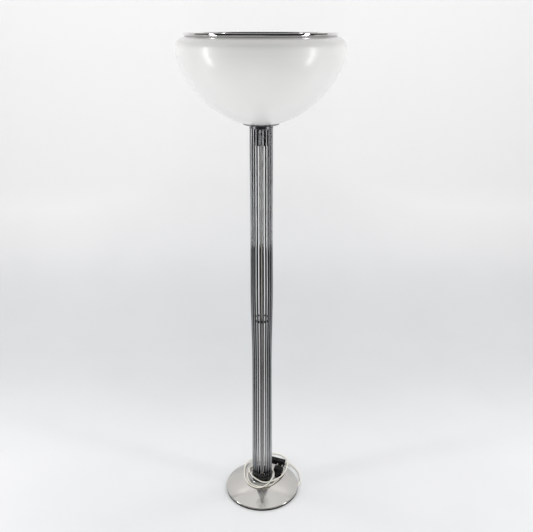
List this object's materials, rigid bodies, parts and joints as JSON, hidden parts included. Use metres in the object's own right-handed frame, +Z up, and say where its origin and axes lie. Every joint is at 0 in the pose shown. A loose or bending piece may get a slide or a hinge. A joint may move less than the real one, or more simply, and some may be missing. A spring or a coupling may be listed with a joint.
{
  "type": "torchiere floor lamp",
  "caption": "Uplighter floor lamp: an opal bowl with a metal rim on a cage of chromed rods, on a domed round base, with a flex switch and a two-pin plug",
  "frame": {"origin": "the middle of the round base's footprint on the floor, the lead and what is on it left out", "axes": "+Z up along the column; -Y faces the viewer; +X is to the viewer's right, the side where the lead leaves the base"},
  "size_m": [0.51, 0.51, 1.65],
  "materials": {
    "chrome": "mirror-polished chrome plate",
    "zinc_steel": "zinc-plated",
    "black_enamel": "satin black",
    "black_plastic": "moulded, satin",
    "opal_acrylic": "satin opal",
    "cast_weight": "as cast",
    "felt": "felt",
    "soft_washer": "matt",
    "ivory_vinyl": "soft",
    "brass": "turned",
    "porcelain": "glazed",
    "opal_glass": "white coated",
    "cap_metal": "pressed",
    "pin_metal": "nickel-plated"
  },
  "bodies": {
    "lamp": {"rod_01": "chrome", "rod_02": "chrome", "rod_03": "chrome", "rod_04": "chrome", "rod_05": "chrome", "rod_06": "chrome", "rod_07": "chrome", "rod_08": "chrome", "rod_09": "chrome", "rod_10": "chrome", "rod_11": "chrome", "rod_12": "chrome", "rod_13": "chrome", "rod_14": "chrome", "rod_15": "chrome", "rod_16": "chrome", "rod_17": "chrome", "rod_18": "chrome", "rod_19": "chrome", "rod_20": "chrome", "rod_21": "chrome", "rod_22": "chrome", "base_dome": "chrome", "foot_flange": "chrome", "spacer_disc": "chrome", "head_sleeve": "chrome", "head_plate": "chrome", "gallery_dish": "chrome", "rim_ring": "chrome", "cover_screws": "zinc_steel", "foot_nut": "zinc_steel", "rod_screws_lower": "zinc_steel", "rod_screws_upper": "zinc_steel", "clamp_disc": "zinc_steel", "clamp_nut": "zinc_steel", "rod_seat": "black_enamel", "base_cover": "black_enamel", "spacer_ring": "black_plastic", "switch_base": "black_plastic", "switch_cover": "black_plastic", "plug_body": "black_plastic", "bowl_shade": "opal_acrylic", "base_weight": "cast_weight", "felt_ring": "felt", "shade_gasket": "soft_washer", "base_lead": "ivory_vinyl", "mains_lead": "ivory_vinyl", "inner_lead": "ivory_vinyl", "cord_grommet": "ivory_vinyl", "switch_reliefs": "ivory_vinyl", "foot_tube": "brass", "holder_tube": "brass", "holder_contacts": "brass", "lamp_holder": "porcelain", "plug_pins": "pin_metal"},
    "rocker": {"switch_rocker": "black_plastic"},
    "bulb_end": {"bulb_tip": "cap_metal"},
    "bulb": {"bulb_cap": "cap_metal", "bulb_glass": "opal_glass"}
  },
  "joints": [
    {"name": "switch_press", "type": "hinge", "parent": "lamp", "child": "rocker", "pos_m": [0.064, 0.138, 0.014], "axis": [0.3846, 0.9231, 0], "range_deg": [0, 16]},
    {"name": "bulb_rise", "type": "slide", "parent": "lamp", "child": "bulb_end", "axis": [0, 0, 1], "range_m": [0, 0.02]},
    {"name": "bulb_turn", "type": "hinge", "parent": "bulb_end", "child": "bulb", "pos_m": [0, 0, 1.5], "axis": [0, 0, 1], "range_deg": [0, 1984]}
  ],
  "couplings": [
    {"joint": "bulb_rise", "follows": "bulb_turn", "m_per_rad": 0.00057757}
  ]
}
